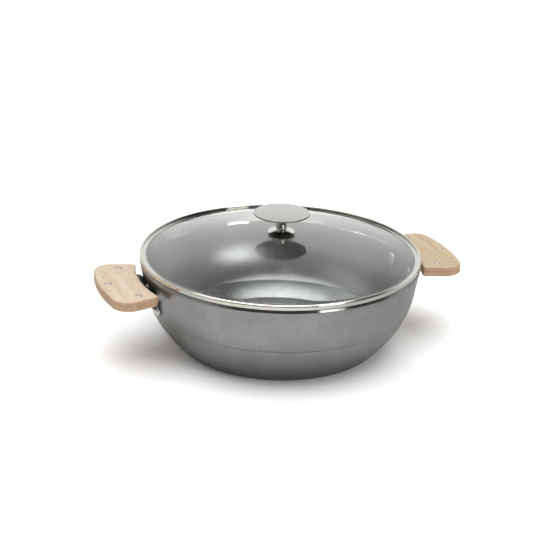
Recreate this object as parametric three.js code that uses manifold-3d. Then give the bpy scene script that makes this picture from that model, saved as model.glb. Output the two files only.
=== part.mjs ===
// Deep pan of pressed carbon steel with two beech side grips and a domed glass lid with a steel knob.
// Millimetres, +Z up. The origin is the centre of the base's underside and the grips lie along X.
import * as THREE from "three";
import { mergeVertices } from "three/addons/utils/BufferGeometryUtils.js";
import Module from "manifold-3d";

const wasm = await Module();
wasm.setup();
const DEG = Math.PI / 180;

// Play between pieces that touch, and facets round the large and the small turned pieces
const GAP = 0.3;
const ROUND = 60;
const KNOB_ROUND = 40;
const SMALL_ROUND = 20;
const RIVET_ROUND = 12;

// Reach of a cutter past the piece that it cuts
const PAST = 10;

// Pan: one steel sheet, a flat base, a bowl and a nearly straight flaring wall
const SHEET = 2.5;
const BASE_RADIUS = 95.5;
const BASE_CORNER = 10;
const BOWL_FOOT_LEAN = 45 * DEG;
const BOWL_FOOT_HANDLE = 29.7;
const BOWL_TOP_RADIUS = 137.8;
const BOWL_TOP_HEIGHT = 70;
const BOWL_TOP_LEAN = 82.9 * DEG;
const BOWL_TOP_HANDLE = 27.8;
const RIM_RADIUS = 141.2;
const PAN_HEIGHT = 91;
const RIM_EDGE_DROP = 1.5;

// Grips: a block in the shape of a ring sector, parted level with the bracket's tongue
const GRIP_INNER_RADIUS = 145.2;
const GRIP_OUTER_RADIUS = 186.8;
const GRIP_HALF_ANGLE = 17.4 * DEG;
const GRIP_OUTER_CORNER = 17;
const GRIP_INNER_CORNER = 2.5;
const GRIP_TOP = 81;
const GRIP_BOTTOM = 70.2;
const GRIP_EASING = 2.2;
const PARTING_HEIGHT = (GRIP_TOP + GRIP_BOTTOM) / 2;

// Brackets: a steel strip that runs up the wall on two feet and bends out into the grip
const STRIP = 2.5;
const STRIP_BEND = 4.5;
const FOOT_OFFSET = 23;
const FOOT_HALF_WIDTH = 7;
const FOOT_END_HEIGHT = 58.5;
const FOOT_SHOULDER = 70;
const FOOT_NOTCH_TOP = 74;
const NECK_HALF_WIDTH = 26;
const TONGUE_INNER_RADIUS = 151;
const TONGUE_OUTER_RADIUS = 182.5;
const TONGUE_HALF_ANGLE = 15 * DEG;
const TONGUE_CORNER = 12;

// Fasteners
const WALL_RIVET_HEIGHT = 64;
const WALL_RIVET_RADIUS = 2.5;
const WALL_RIVET_OUTER_HEAD = { radius: 5, height: 2.4 };
const WALL_RIVET_INNER_HEAD = { radius: 7, height: 1.9 };
const WALL_RIVET_INNER_GAP = 0.9;
const GRIP_PIN_RADIUS = 3.25;
const GRIP_PIN_SINK = 0.3;
const GRIP_PIN_EDGE = 0.5;
const GRIP_PIN_PLACES = [
  { radius: 161.5, angle: -13.3 * DEG },
  { radius: 177.5, angle: 0 },
  { radius: 161.5, angle: 13.3 * DEG },
];

// Lid: tempered glass held in a formed steel band, which rests on the pan's rim
const LID_RADIUS = 141;
const LID_BOTTOM = PAN_HEIGHT + GAP;
const BAND_TOP = 96.7;
const BAND_SHEET = 0.8;
const BEAD_WIDTH = 2.4;
const BEAD_ROUND = 0.8;
const SKIRT_RADIUS = 135.2;
const SKIRT_DEPTH = 13.1;
const SKIRT_LIP = { height: 3.6, inset: 1.3 };
const GLASS = 2.9;
const GLASS_EDGE_PLAY = 0.6;
const DOME_RADIUS = 450;
const DOME_EDGE_RADIUS = 132.5;
const DOME_EDGE_BLEND = 3;
const DOME_STEPS = 5;
const GLASS_HOLE_RADIUS = 4;

// Knob: a convex disc on a stem, a washer at its foot, and a screw from below
const DISC_RADIUS = 28.2;
const DISC_EDGE = 1.4;
const DISC_CROWN = 1.5;
const DISC_EDGE_MIDDLE = 137;
const STEM_RADIUS = 5.6;
const SPIGOT = { radius: 3, height: 0.9 };
const WASHER_RADIUS = 13.7;
const WASHER_EDGE = 0.9;
const WASHER_COLLAR = 1;
const WASHER_RISE = 0.7;
const GASKET = 0.8;
const UPPER_GASKET_RADIUS = 12;
const LOWER_GASKET_RADIUS = 11;
const LOWER_WASHER = { radius: 9.5, height: 1.2 };
const SCREW_RADIUS = 2.5;
const SCREW_HEAD = { radius: 4.7, height: 2.9, slot: 1.2 };
const SCREW_REACH = 9;

// Heights that follow from the sizes above
const SHELF_TOP = LID_BOTTOM + BAND_SHEET;
const GLASS_FLANGE_BOTTOM = SHELF_TOP + GAP;
const GLASS_FLANGE_TOP = GLASS_FLANGE_BOTTOM + GLASS;
const GLASS_EDGE_RADIUS = LID_RADIUS - BAND_SHEET - GLASS_EDGE_PLAY;
const DOME_FLANGE_MEETING = DOME_EDGE_RADIUS + DOME_EDGE_BLEND / 2;
const DOME_CENTRE = GLASS_FLANGE_TOP - Math.sqrt(DOME_RADIUS ** 2 - DOME_FLANGE_MEETING ** 2);
const GLASS_APEX = DOME_CENTRE + DOME_RADIUS;
const GLASS_UNDERSIDE = GLASS_APEX - GLASS;
const UPPER_GASKET_BOTTOM = GLASS_APEX + GAP;
const WASHER_BOTTOM = UPPER_GASKET_BOTTOM + GASKET + GAP;
const STEM_BOTTOM = WASHER_BOTTOM + WASHER_EDGE + WASHER_RISE + GAP;
const DISC_BOTTOM = DISC_EDGE_MIDDLE - DISC_EDGE / 2;
const STEM_TOP = DISC_BOTTOM - GAP;
const LOWER_GASKET_TOP = GLASS_UNDERSIDE - 1.5 * GAP;
const LOWER_WASHER_TOP = LOWER_GASKET_TOP - GASKET - GAP;
const SCREW_SEAT = LOWER_WASHER_TOP - LOWER_WASHER.height - GAP;
const SCREW_TIP = STEM_BOTTOM + SCREW_REACH;

// Finishes
const carbonSteel = new THREE.MeshStandardMaterial({ color: 0x8e8f8e, roughness: 0.42, metalness: 1 });
const stainless = new THREE.MeshStandardMaterial({ color: 0xc9c9c4, roughness: 0.16, metalness: 1 });
const beech = new THREE.MeshStandardMaterial({ color: 0xdcc3a0, roughness: 0.62, metalness: 0 });
const glass = new THREE.MeshStandardMaterial({
  color: 0xe8efec, roughness: 0.03, metalness: 0, transparent: true, opacity: 0.25,
});
const silicone = new THREE.MeshStandardMaterial({ color: 0x33322f, roughness: 0.5, metalness: 0 });

const at = (x, y) => new THREE.Vector2(x, y);

// Closed solid of a three.js geometry, turned the right way out
function solid(geometry) {
  const bare = geometry.index ? geometry.toNonIndexed() : geometry;
  bare.deleteAttribute("normal");
  bare.deleteAttribute("uv");
  const merged = mergeVertices(bare);
  const index = merged.index.array;
  const place = merged.attributes.position;
  const corners = [];
  let volume = 0;
  const [a, b, c] = [new THREE.Vector3(), new THREE.Vector3(), new THREE.Vector3()];
  for (let i = 0; i < index.length; i += 3) {
    const [p, q, r] = [index[i], index[i + 1], index[i + 2]];
    if (p === q || q === r || r === p) continue;
    corners.push(p, q, r);
    a.fromBufferAttribute(place, p);
    b.fromBufferAttribute(place, q);
    c.fromBufferAttribute(place, r);
    volume += a.dot(b.cross(c));
  }
  if (volume < 0) corners.reverse();
  return new wasm.Manifold(new wasm.Mesh({
    numProp: 3,
    vertProperties: new Float32Array(place.array),
    triVerts: new Uint32Array(corners),
  }));
}

// Named mesh of a solid
function piece(name, body, material) {
  const data = body.getMesh();
  const geometry = new THREE.BufferGeometry();
  geometry.setAttribute("position", new THREE.BufferAttribute(data.vertProperties, 3));
  geometry.setIndex(new THREE.BufferAttribute(data.triVerts, 1));
  geometry.computeVertexNormals();
  const mesh = new THREE.Mesh(geometry, material);
  mesh.name = name;
  return mesh;
}

// Outline of radius and height, turned about the Z axis
function turned(outline, facets) {
  return solid(new THREE.LatheGeometry(outline, facets).rotateX(Math.PI / 2));
}

// Flat shape in X and Y, raised between two heights
function raised(shape, low, high) {
  const geometry = new THREE.ExtrudeGeometry(shape, { depth: high - low, bevelEnabled: false });
  return solid(geometry.translate(0, 0, low));
}

// Points of an arc about a centre, both ends included
function arc(centre, radius, from, to, steps) {
  const points = [];
  for (let i = 0; i <= steps; i += 1) {
    const turn = from + ((to - from) * i) / steps;
    points.push(at(centre.x + radius * Math.cos(turn), centre.y + radius * Math.sin(turn)));
  }
  return points;
}

// Line moved sideways by a distance, to the left of its run where the distance is positive
function shifted(line, distance) {
  return line.map((point, i) => {
    const before = line[Math.max(i - 1, 0)];
    const after = line[Math.min(i + 1, line.length - 1)];
    const run = after.clone().sub(before).normalize();
    return at(point.x - run.y * distance, point.y + run.x * distance);
  });
}

// Outer line of the pan from the edge of the flat base up to the rim, as radius and height
const bowlFoot = at(
  BASE_RADIUS + BASE_CORNER * Math.sin(BOWL_FOOT_LEAN),
  BASE_CORNER * (1 - Math.cos(BOWL_FOOT_LEAN)),
);
const bowlTop = at(BOWL_TOP_RADIUS, BOWL_TOP_HEIGHT);
const bowl = new THREE.CubicBezierCurve(
  bowlFoot,
  at(
    bowlFoot.x + BOWL_FOOT_HANDLE * Math.cos(BOWL_FOOT_LEAN),
    bowlFoot.y + BOWL_FOOT_HANDLE * Math.sin(BOWL_FOOT_LEAN),
  ),
  at(
    bowlTop.x - BOWL_TOP_HANDLE * Math.cos(BOWL_TOP_LEAN),
    bowlTop.y - BOWL_TOP_HANDLE * Math.sin(BOWL_TOP_LEAN),
  ),
  bowlTop,
);

function wallLine(bowlSteps) {
  const corner = arc(at(BASE_RADIUS, BASE_CORNER), BASE_CORNER, -90 * DEG, BOWL_FOOT_LEAN - 90 * DEG, 3);
  const rim = at(RIM_RADIUS, PAN_HEIGHT - RIM_EDGE_DROP);
  return [...corner.slice(0, -1), ...bowl.getPoints(bowlSteps), rim];
}

// Radius of the outer wall at a height, and its lean from the horizontal
function wallAt(height) {
  const line = wallLine(60);
  const i = line.findIndex((point) => point.y > height);
  const [low, high] = [line[i - 1], line[i]];
  const share = (height - low.y) / (high.y - low.y);
  return {
    radius: low.x + share * (high.x - low.x),
    lean: Math.atan2(high.y - low.y, high.x - low.x),
  };
}

// Ring sector about Z, centred on +X, with rounded corners, grown on every side by a margin
function sector(inner, outer, halfAngle, innerCorner, outerCorner, margin = 0) {
  const low = inner - margin;
  const high = outer + margin;
  const half = halfAngle + margin / ((inner + outer) / 2);
  const outerTurn = half - Math.asin(outerCorner / (high - outerCorner));
  const innerTurn = half - Math.asin(innerCorner / (low + innerCorner));
  const polar = (radius, turn) => at(radius * Math.cos(turn), radius * Math.sin(turn));
  const oneSide = [
    ...arc(at(0, 0), high, 0, outerTurn, 5),
    ...arc(polar(high - outerCorner, outerTurn), outerCorner, outerTurn, half + 90 * DEG, 5).slice(1),
    ...arc(polar(low + innerCorner, innerTurn), innerCorner, half + 90 * DEG, innerTurn + 180 * DEG, 3),
    ...arc(at(0, 0), low, innerTurn, 0, 5).slice(1),
  ];
  const otherSide = oneSide.slice(1, -1).reverse().map((point) => at(point.x, -point.y));
  return new THREE.Shape([...oneSide, ...otherSide]);
}

// Rectangle in X and Y
function rectangle(x0, x1, y0, y1) {
  return new THREE.Shape([at(x0, y0), at(x1, y0), at(x1, y1), at(x0, y1)]);
}

// Place of a wall rivet: its origin on the outer wall, its Y axis out of the wall
function wallRivetPlace(side) {
  const wall = wallAt(WALL_RIVET_HEIGHT);
  const turn = side * Math.asin(FOOT_OFFSET / wall.radius);
  const outward = new THREE.Vector3(
    Math.sin(wall.lean) * Math.cos(turn),
    Math.sin(wall.lean) * Math.sin(turn),
    -Math.cos(wall.lean),
  );
  return {
    position: new THREE.Vector3(Math.cos(turn), Math.sin(turn), 0)
      .multiplyScalar(wall.radius)
      .setZ(WALL_RIVET_HEIGHT),
    quaternion: new THREE.Quaternion().setFromUnitVectors(new THREE.Vector3(0, 1, 0), outward),
  };
}

// Round cutter for a wall rivet's hole, in the frame of a handle
function wallRivetCutter(side) {
  const place = wallRivetPlace(side);
  const radius = WALL_RIVET_RADIUS + GAP;
  const cutter = new THREE.CylinderGeometry(radius, radius, 2 * PAST, RIVET_ROUND);
  cutter.applyQuaternion(place.quaternion).translate(...place.position);
  return cutter;
}

// Pan: the sheet's two faces joined by a rounded rim, with the holes of the wall rivets
function panBody() {
  const outside = wallLine(9);
  const inside = shifted(outside, SHEET).reverse();
  const rimTop = outside[outside.length - 1];
  const rimInner = inside[0];
  const middle = rimTop.clone().add(rimInner).multiplyScalar(0.5);
  const start = Math.atan2(rimTop.y - middle.y, rimTop.x - middle.x);
  const rim = arc(middle, SHEET / 2, start, start + Math.PI, 4).slice(1, -1);
  const outline = [at(0, 0), ...outside, ...rim, ...inside, at(0, SHEET)];
  let body = turned(outline, ROUND);
  for (const side of [-1, 1]) {
    for (const turn of [0, Math.PI]) {
      body = body.subtract(solid(wallRivetCutter(side).rotateZ(turn)));
    }
  }
  return body;
}

// Quarter ellipse from the edge of a rivet's head towards its top, along Y
function headLine({ radius, height }, seat, way) {
  return arc(at(0, 0), 1, 0, 60 * DEG, 2).map((point) => at(radius * point.x, seat + way * height * point.y));
}

// Wall rivet along Y: a low head inside the pan, a shank, and a rounder head on the bracket's foot
function wallRivet() {
  const innerSeat = -SHEET - WALL_RIVET_INNER_GAP;
  const outerSeat = GAP + STRIP + GAP;
  return solid(new THREE.LatheGeometry([
    at(0, innerSeat - WALL_RIVET_INNER_HEAD.height),
    ...headLine(WALL_RIVET_INNER_HEAD, innerSeat, -1).reverse(),
    at(WALL_RIVET_RADIUS, innerSeat),
    at(WALL_RIVET_RADIUS, outerSeat),
    ...headLine(WALL_RIVET_OUTER_HEAD, outerSeat, 1),
    at(0, outerSeat + WALL_RIVET_OUTER_HEAD.height),
  ], RIVET_ROUND));
}

// Straight pin through a grip, with its edges broken
function gripPin() {
  const half = (GRIP_TOP - GRIP_BOTTOM) / 2 - GRIP_PIN_SINK;
  const edge = GRIP_PIN_RADIUS - GRIP_PIN_EDGE;
  return turned([
    at(0, -half),
    at(edge, -half),
    at(GRIP_PIN_RADIUS, GRIP_PIN_EDGE - half),
    at(GRIP_PIN_RADIUS, half - GRIP_PIN_EDGE),
    at(edge, half),
    at(0, half),
  ], RIVET_ROUND);
}

const pinPlace = ({ radius, angle }) => [radius * Math.cos(angle), radius * Math.sin(angle), PARTING_HEIGHT];

// Holes for the three pins of a grip
function withPinHoles(body) {
  return GRIP_PIN_PLACES.reduce((rest, pin) => {
    const radius = GRIP_PIN_RADIUS + GAP;
    const cutter = new THREE.CylinderGeometry(radius, radius, 2 * PAST, RIVET_ROUND);
    return rest.subtract(solid(cutter.rotateX(Math.PI / 2).translate(...pinPlace(pin))));
  }, body);
}

// The bracket's tongue and neck seen from above, grown by a margin, between two heights
function tongue(low, high, margin) {
  const leaf = sector(
    TONGUE_INNER_RADIUS, TONGUE_OUTER_RADIUS, TONGUE_HALF_ANGLE, GRIP_INNER_CORNER, TONGUE_CORNER, margin,
  );
  const width = NECK_HALF_WIDTH + margin;
  const neck = rectangle(BOWL_TOP_RADIUS + STRIP_BEND, TONGUE_INNER_RADIUS + TONGUE_CORNER, -width, width);
  return raised(leaf, low, high).add(raised(neck, low, high));
}

// Bracket: a strip turned about the pan's axis, cut to two feet below and to the tongue above
function bracket() {
  const stand = GAP + STRIP / 2;
  const bendCentre = PARTING_HEIGHT - STRIP_BEND;
  const bendStart = bendCentre + STRIP_BEND * Math.cos(BOWL_TOP_LEAN);
  const onWall = (height) => {
    const wall = wallAt(height);
    return at(wall.radius + stand / Math.sin(wall.lean), height);
  };
  const footBottom = FOOT_END_HEIGHT - FOOT_HALF_WIDTH;
  const stripBottom = footBottom - STRIP;
  const flange = [0, 0.25, 0.5, 0.75].map((share) => onWall(stripBottom + (bendStart - stripBottom) * share));
  const start = onWall(bendStart);
  const bend = arc(
    at(start.x + STRIP_BEND * Math.sin(BOWL_TOP_LEAN), bendCentre),
    STRIP_BEND, BOWL_TOP_LEAN + 90 * DEG, 90 * DEG, 5,
  );
  const middle = [...flange, ...bend, at(TONGUE_OUTER_RADIUS + PAST, PARTING_HEIGHT)];
  const one = shifted(middle, STRIP / 2);
  const other = shifted(middle, -STRIP / 2).reverse();
  const strip = turned([...one, ...other, one[0]], ROUND);

  const width = NECK_HALF_WIDTH;
  const notch = FOOT_OFFSET - FOOT_HALF_WIDTH;
  const notchCentre = at(0, FOOT_NOTCH_TOP - notch);
  const feet = new THREE.Shape([
    at(width, GRIP_TOP),
    at(-width, GRIP_TOP),
    at(-width, FOOT_SHOULDER),
    ...arc(at(-FOOT_OFFSET, FOOT_END_HEIGHT), FOOT_HALF_WIDTH, -180 * DEG, 0, 8),
    ...arc(notchCentre, notch, 180 * DEG, 0, 8),
    ...arc(at(FOOT_OFFSET, FOOT_END_HEIGHT), FOOT_HALF_WIDTH, -180 * DEG, 0, 8),
    at(width, FOOT_SHOULDER),
  ]);
  const feetDepth = 2 * STRIP_BEND + SHEET;
  const feetBlock = new THREE.ExtrudeGeometry(feet, { depth: RIM_RADIUS, bevelEnabled: false });
  feetBlock.rotateX(Math.PI / 2).rotateZ(Math.PI / 2);
  feetBlock.translate(BOWL_TOP_RADIUS + feetDepth - RIM_RADIUS, 0, 0);
  const outline = solid(feetBlock).add(tongue(PARTING_HEIGHT - STRIP, PARTING_HEIGHT + STRIP, 0));

  let body = withPinHoles(strip.intersect(outline));
  for (const side of [-1, 1]) {
    body = body.subtract(solid(wallRivetCutter(side)));
  }
  return body;
}

// Grip: a block with eased edges, parted at mid-height and hollowed for the bracket's tongue
function gripHalves() {
  const shape = sector(
    GRIP_INNER_RADIUS + GRIP_EASING, GRIP_OUTER_RADIUS - GRIP_EASING,
    GRIP_HALF_ANGLE - GRIP_EASING / GRIP_INNER_RADIUS,
    GRIP_INNER_CORNER, GRIP_OUTER_CORNER - GRIP_EASING,
  );
  const block = new THREE.ExtrudeGeometry(shape, {
    depth: GRIP_TOP - GRIP_BOTTOM - 2 * GRIP_EASING,
    bevelThickness: GRIP_EASING,
    bevelSize: GRIP_EASING,
    bevelSegments: 2,
  });
  const hollow = tongue(PARTING_HEIGHT - STRIP / 2 - GAP, PARTING_HEIGHT + STRIP / 2 + GAP, GAP);
  const body = withPinHoles(solid(block.translate(0, 0, GRIP_BOTTOM + GRIP_EASING)).subtract(hollow));
  const reach = GRIP_OUTER_RADIUS + PAST;
  const plate = rectangle(0, reach, -reach, reach);
  return {
    upper: body.intersect(raised(plate, PARTING_HEIGHT + GAP / 2, GRIP_TOP + PAST)),
    lower: body.intersect(raised(plate, GRIP_BOTTOM - PAST, PARTING_HEIGHT - GAP / 2)),
  };
}

// One handle on the +X side: bracket, two grip halves, three pins and two wall rivets.
// The last two names are those of its ends towards -Y and +Y.
function handle(side, lowEnd, highEnd) {
  const group = new THREE.Group();
  group.add(piece(`${side}_handle_bracket`, bracket(), stainless));
  const halves = gripHalves();
  group.add(piece(`${side}_grip_upper`, halves.upper, beech));
  group.add(piece(`${side}_grip_lower`, halves.lower, beech));
  const pinNames = [lowEnd, "middle", highEnd];
  GRIP_PIN_PLACES.forEach((pin, i) => {
    const mesh = piece(`${side}_grip_pin_${pinNames[i]}`, gripPin(), stainless);
    mesh.position.set(...pinPlace(pin));
    group.add(mesh);
  });
  for (const [end, way] of [[lowEnd, -1], [highEnd, 1]]) {
    const mesh = piece(`${side}_wall_rivet_${end}`, wallRivet(), stainless);
    const place = wallRivetPlace(way);
    mesh.position.copy(place.position);
    mesh.quaternion.copy(place.quaternion);
    group.add(mesh);
  }
  return group;
}

// Lid band: a skirt inside the pan with its lip turned in, a shelf on the rim, an outer wall and a bead over the glass
function lidBand() {
  const skirtInner = SKIRT_RADIUS - BAND_SHEET;
  const skirtBottom = LID_BOTTOM - SKIRT_DEPTH;
  const lipTop = skirtBottom + SKIRT_LIP.height;
  const beadInner = LID_RADIUS - BEAD_WIDTH;
  const beadTop = [
    ...arc(at(LID_RADIUS - BEAD_ROUND, BAND_TOP - BEAD_ROUND), BEAD_ROUND, 0, 90 * DEG, 2),
    ...arc(at(beadInner + BEAD_ROUND, BAND_TOP - BEAD_ROUND), BEAD_ROUND, 90 * DEG, 180 * DEG, 2),
  ];
  const beadBottom = GLASS_FLANGE_TOP + GAP;
  const wallInner = LID_RADIUS - BAND_SHEET;
  return turned([
    at(skirtInner - SKIRT_LIP.inset, skirtBottom),
    at(SKIRT_RADIUS - SKIRT_LIP.inset, skirtBottom),
    at(SKIRT_RADIUS, lipTop),
    at(SKIRT_RADIUS, LID_BOTTOM),
    at(LID_RADIUS - BAND_SHEET / 2, LID_BOTTOM),
    at(LID_RADIUS, LID_BOTTOM + BAND_SHEET / 2),
    ...beadTop,
    at(beadInner, beadBottom),
    at(wallInner, beadBottom),
    at(wallInner, SHELF_TOP),
    at(skirtInner, SHELF_TOP),
    at(skirtInner, lipTop),
    at(skirtInner - SKIRT_LIP.inset, skirtBottom),
  ], ROUND);
}

// Lid glass: a shallow dome with a level flange at its edge and a hole at its top
function lidGlass() {
  const domeLine = (radius, from, to) => {
    const points = [];
    for (let i = 0; i <= DOME_STEPS; i += 1) {
      const r = from + ((to - from) * i) / DOME_STEPS;
      points.push(at(r, DOME_CENTRE + Math.sqrt(radius ** 2 - r ** 2)));
    }
    return points;
  };
  const top = domeLine(DOME_RADIUS, GLASS_HOLE_RADIUS, DOME_EDGE_RADIUS);
  const underside = domeLine(DOME_RADIUS - GLASS, DOME_EDGE_RADIUS, GLASS_HOLE_RADIUS);
  const flange = DOME_EDGE_RADIUS + DOME_EDGE_BLEND;
  return turned([
    ...top,
    at(flange, GLASS_FLANGE_TOP),
    at(GLASS_EDGE_RADIUS, GLASS_FLANGE_TOP),
    at(GLASS_EDGE_RADIUS, GLASS_FLANGE_BOTTOM),
    at(flange, GLASS_FLANGE_BOTTOM),
    ...underside,
    top[0],
  ], ROUND);
}

// Knob disc: level below, convex above, with a socket for the stem's spigot
function knobDisc() {
  const edgeTop = DISC_BOTTOM + DISC_EDGE;
  const crownAt = (share) => at(DISC_RADIUS * share, edgeTop + DISC_CROWN * (1 - share ** 2));
  const socket = SPIGOT.radius + GAP;
  const socketTop = DISC_BOTTOM + SPIGOT.height;
  return turned([
    at(0, socketTop),
    at(socket, socketTop),
    at(socket, DISC_BOTTOM),
    at(DISC_RADIUS - DISC_EDGE / 4, DISC_BOTTOM),
    at(DISC_RADIUS, DISC_BOTTOM + DISC_EDGE / 4),
    at(DISC_RADIUS, edgeTop - DISC_EDGE / 4),
    at(DISC_RADIUS - DISC_EDGE / 4, edgeTop),
    ...[0.85, 0.6, 0.3].map(crownAt),
    at(0, edgeTop + DISC_CROWN),
  ], KNOB_ROUND);
}

// Knob stem: a round bar with a spigot above and a blind hole for the screw below
function knobStem() {
  const hole = SCREW_RADIUS + GAP;
  const holeTop = SCREW_TIP + GAP;
  const spigotTop = STEM_TOP + SPIGOT.height;
  return turned([
    at(0, holeTop),
    at(hole, holeTop),
    at(hole, STEM_BOTTOM),
    at(STEM_RADIUS, STEM_BOTTOM),
    at(STEM_RADIUS, STEM_TOP),
    at(SPIGOT.radius, STEM_TOP),
    at(SPIGOT.radius, spigotTop),
    at(0, spigotTop),
  ], SMALL_ROUND);
}

// Knob washer: a thin disc that rises towards the stem
function knobWasher() {
  const hole = SCREW_RADIUS + GAP;
  const rise = WASHER_BOTTOM + WASHER_EDGE + WASHER_RISE;
  return turned([
    at(hole, WASHER_BOTTOM),
    at(WASHER_RADIUS, WASHER_BOTTOM),
    at(WASHER_RADIUS, WASHER_BOTTOM + WASHER_EDGE),
    at(STEM_RADIUS + WASHER_COLLAR, rise),
    at(hole, rise),
    at(hole, WASHER_BOTTOM),
  ], KNOB_ROUND);
}

// Flat ring about Z with the screw's hole
function ring(outer, low, high) {
  const inner = SCREW_RADIUS + GAP;
  const corners = [at(inner, low), at(outer, low), at(outer, high), at(inner, high), at(inner, low)];
  return turned(corners, SMALL_ROUND);
}

// Lid screw: a slotted pan head below the glass and a shank that ends inside the stem
function lidScrew() {
  const head = SCREW_SEAT - SCREW_HEAD.height;
  const body = turned([
    at(0, head),
    at(SCREW_HEAD.radius * 0.75, head),
    at(SCREW_HEAD.radius, SCREW_SEAT - SCREW_HEAD.height * 0.6),
    at(SCREW_HEAD.radius, SCREW_SEAT),
    at(SCREW_RADIUS, SCREW_SEAT),
    at(SCREW_RADIUS, SCREW_TIP),
    at(0, SCREW_TIP),
  ], SMALL_ROUND);
  const reach = 2 * SCREW_HEAD.radius;
  const half = SCREW_HEAD.slot / 2;
  return body.subtract(raised(rectangle(-reach, reach, -half, half), head - PAST, head + SCREW_HEAD.slot));
}

const pan = new THREE.Group();
pan.add(piece("pan_body", panBody(), carbonSteel));

const rightHandle = handle("right", "near", "far");
const leftHandle = handle("left", "far", "near");
leftHandle.rotation.z = Math.PI;
pan.add(rightHandle, leftHandle);

const lid = new THREE.Group();
const upperGasket = ring(UPPER_GASKET_RADIUS, UPPER_GASKET_BOTTOM, UPPER_GASKET_BOTTOM + GASKET);
const lowerGasket = ring(LOWER_GASKET_RADIUS, LOWER_GASKET_TOP - GASKET, LOWER_GASKET_TOP);
const lowerWasher = ring(LOWER_WASHER.radius, LOWER_WASHER_TOP - LOWER_WASHER.height, LOWER_WASHER_TOP);
lid.add(
  piece("lid_glass", lidGlass(), glass),
  piece("lid_band", lidBand(), stainless),
  piece("knob_disc", knobDisc(), stainless),
  piece("knob_stem", knobStem(), stainless),
  piece("knob_washer", knobWasher(), stainless),
  piece("knob_upper_gasket", upperGasket, silicone),
  piece("knob_lower_gasket", lowerGasket, silicone),
  piece("knob_lower_washer", lowerWasher, stainless),
  piece("knob_screw", lidScrew(), stainless),
);

const deepPan = new THREE.Group();
deepPan.add(pan, lid);

export default deepPan;
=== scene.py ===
# %% [markdown]
# # Deep steel pan with a glass lid
# The real pan is pressed from one sheet of carbon steel. Two beech grips are riveted to it on
# steel brackets, and a domed glass lid in a steel band lies on its rim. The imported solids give
# every place and size. Here each of them gets a finer surface and the finish of its material.

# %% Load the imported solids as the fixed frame
import math

import bmesh
import bpy
import numpy as np
from mathutils import Matrix, Vector


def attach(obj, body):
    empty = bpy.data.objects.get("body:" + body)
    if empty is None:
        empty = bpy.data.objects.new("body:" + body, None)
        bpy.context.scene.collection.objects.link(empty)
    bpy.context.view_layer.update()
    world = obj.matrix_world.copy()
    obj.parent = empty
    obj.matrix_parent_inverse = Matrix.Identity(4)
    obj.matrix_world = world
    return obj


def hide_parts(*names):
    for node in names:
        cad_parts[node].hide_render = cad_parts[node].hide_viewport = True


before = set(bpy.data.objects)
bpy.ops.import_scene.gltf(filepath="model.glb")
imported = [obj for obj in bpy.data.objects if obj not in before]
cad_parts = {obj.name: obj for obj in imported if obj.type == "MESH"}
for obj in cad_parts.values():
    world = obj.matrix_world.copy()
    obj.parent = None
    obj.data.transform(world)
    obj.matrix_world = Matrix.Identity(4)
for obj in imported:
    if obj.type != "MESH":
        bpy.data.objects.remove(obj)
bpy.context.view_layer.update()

scene = bpy.context.scene
scene.view_settings.view_transform = "Standard"

# %% [markdown]
# ## Camera
# The photograph was taken from about 21 degrees above the table with a long lens, and the camera
# was turned by a little under two degrees. A camera can be nudged by eye until the picture fits.
# Here its distance and lens were worked out from the lid's ellipse, the pins in the grips and the
# pan's outline, which settles them together, and no shift is needed.

# %% Camera at the photograph's angle
AZIMUTH, ELEVATION, ROLL = (math.radians(a) for a in (-20.70, 21.05, 1.88))
DISTANCE, LENS, SENSOR, SEES_TO = 1.492, 95.5, 36.0, 50
LID_CENTRE = Vector((0, 0, 0.0975))
AIM_RIGHT, AIM_UP = 0.0003, -0.0302

backward = Vector((
    math.sin(AZIMUTH) * math.cos(ELEVATION),
    -math.cos(AZIMUTH) * math.cos(ELEVATION),
    math.sin(ELEVATION),
))
rightward = Vector((math.cos(AZIMUTH), math.sin(AZIMUTH), 0))
aim = LID_CENTRE + rightward * AIM_RIGHT + backward.cross(rightward) * AIM_UP
camera = bpy.data.objects.new("camera", bpy.data.cameras.new("camera"))
camera.data.lens = LENS
camera.data.sensor_width = SENSOR
camera.data.clip_end = SEES_TO
camera.location = LID_CENTRE + backward * DISTANCE
level_view = (aim - camera.location).to_track_quat("-Z", "Y").to_matrix().to_4x4()
camera.rotation_euler = (level_view @ Matrix.Rotation(ROLL, 4, "Z")).to_euler()
scene.collection.objects.link(camera)
scene.camera = camera
print("camera", [round(x, 3) for x in camera.location], "lens", LENS)

# %% [markdown]
# ## Colours and nodes
# Colours are written as the sRGB hex values that a colour picker shows. Blender's sockets take
# linear light, so one function converts them. One more function adds a node, sets its options,
# fills or links its inputs and places its colour stops, which keeps every material below short.

# %% Colour and node helpers
def linear(hex_colour):
    """Linear red, green, blue and alpha of an sRGB hex colour: the standard's curve, undone."""
    share = np.array([int(hex_colour[i:i + 2], 16) for i in (1, 3, 5)]) / 255
    light = np.where(share <= 0.04045, share / 12.92, ((share + 0.055) / 1.055) ** 2.4)
    return (*light.tolist(), 1.0)


def add(tree, kind, inputs=None, stops=(), **options):
    """Adds a node, sets its options, gives each named input a value or a link, and gives a colour
    ramp its (place, hex colour) stops."""
    node = tree.nodes.new("ShaderNode" + kind)
    for name, value in options.items():
        setattr(node, name, value)
    for name, value in (inputs or {}).items():
        if isinstance(value, bpy.types.NodeSocket):
            tree.links.new(value, node.inputs[name])
        else:
            node.inputs[name].default_value = value
    if stops:
        elements = node.color_ramp.elements
        while len(elements) < len(stops):
            elements.new(0.5)
        for element, (place, colour) in zip(elements, stops):
            element.position, element.color = place, linear(colour)
    return node


def new_tree(name):
    """A material with an empty node tree, and that tree."""
    material = bpy.data.materials.new(name)
    material.use_nodes = True
    material.node_tree.nodes.clear()
    return material, material.node_tree


WHITE = linear("#ffffff")
print("sRGB 808080 is linear", round(linear("#808080")[0], 3))

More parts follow.
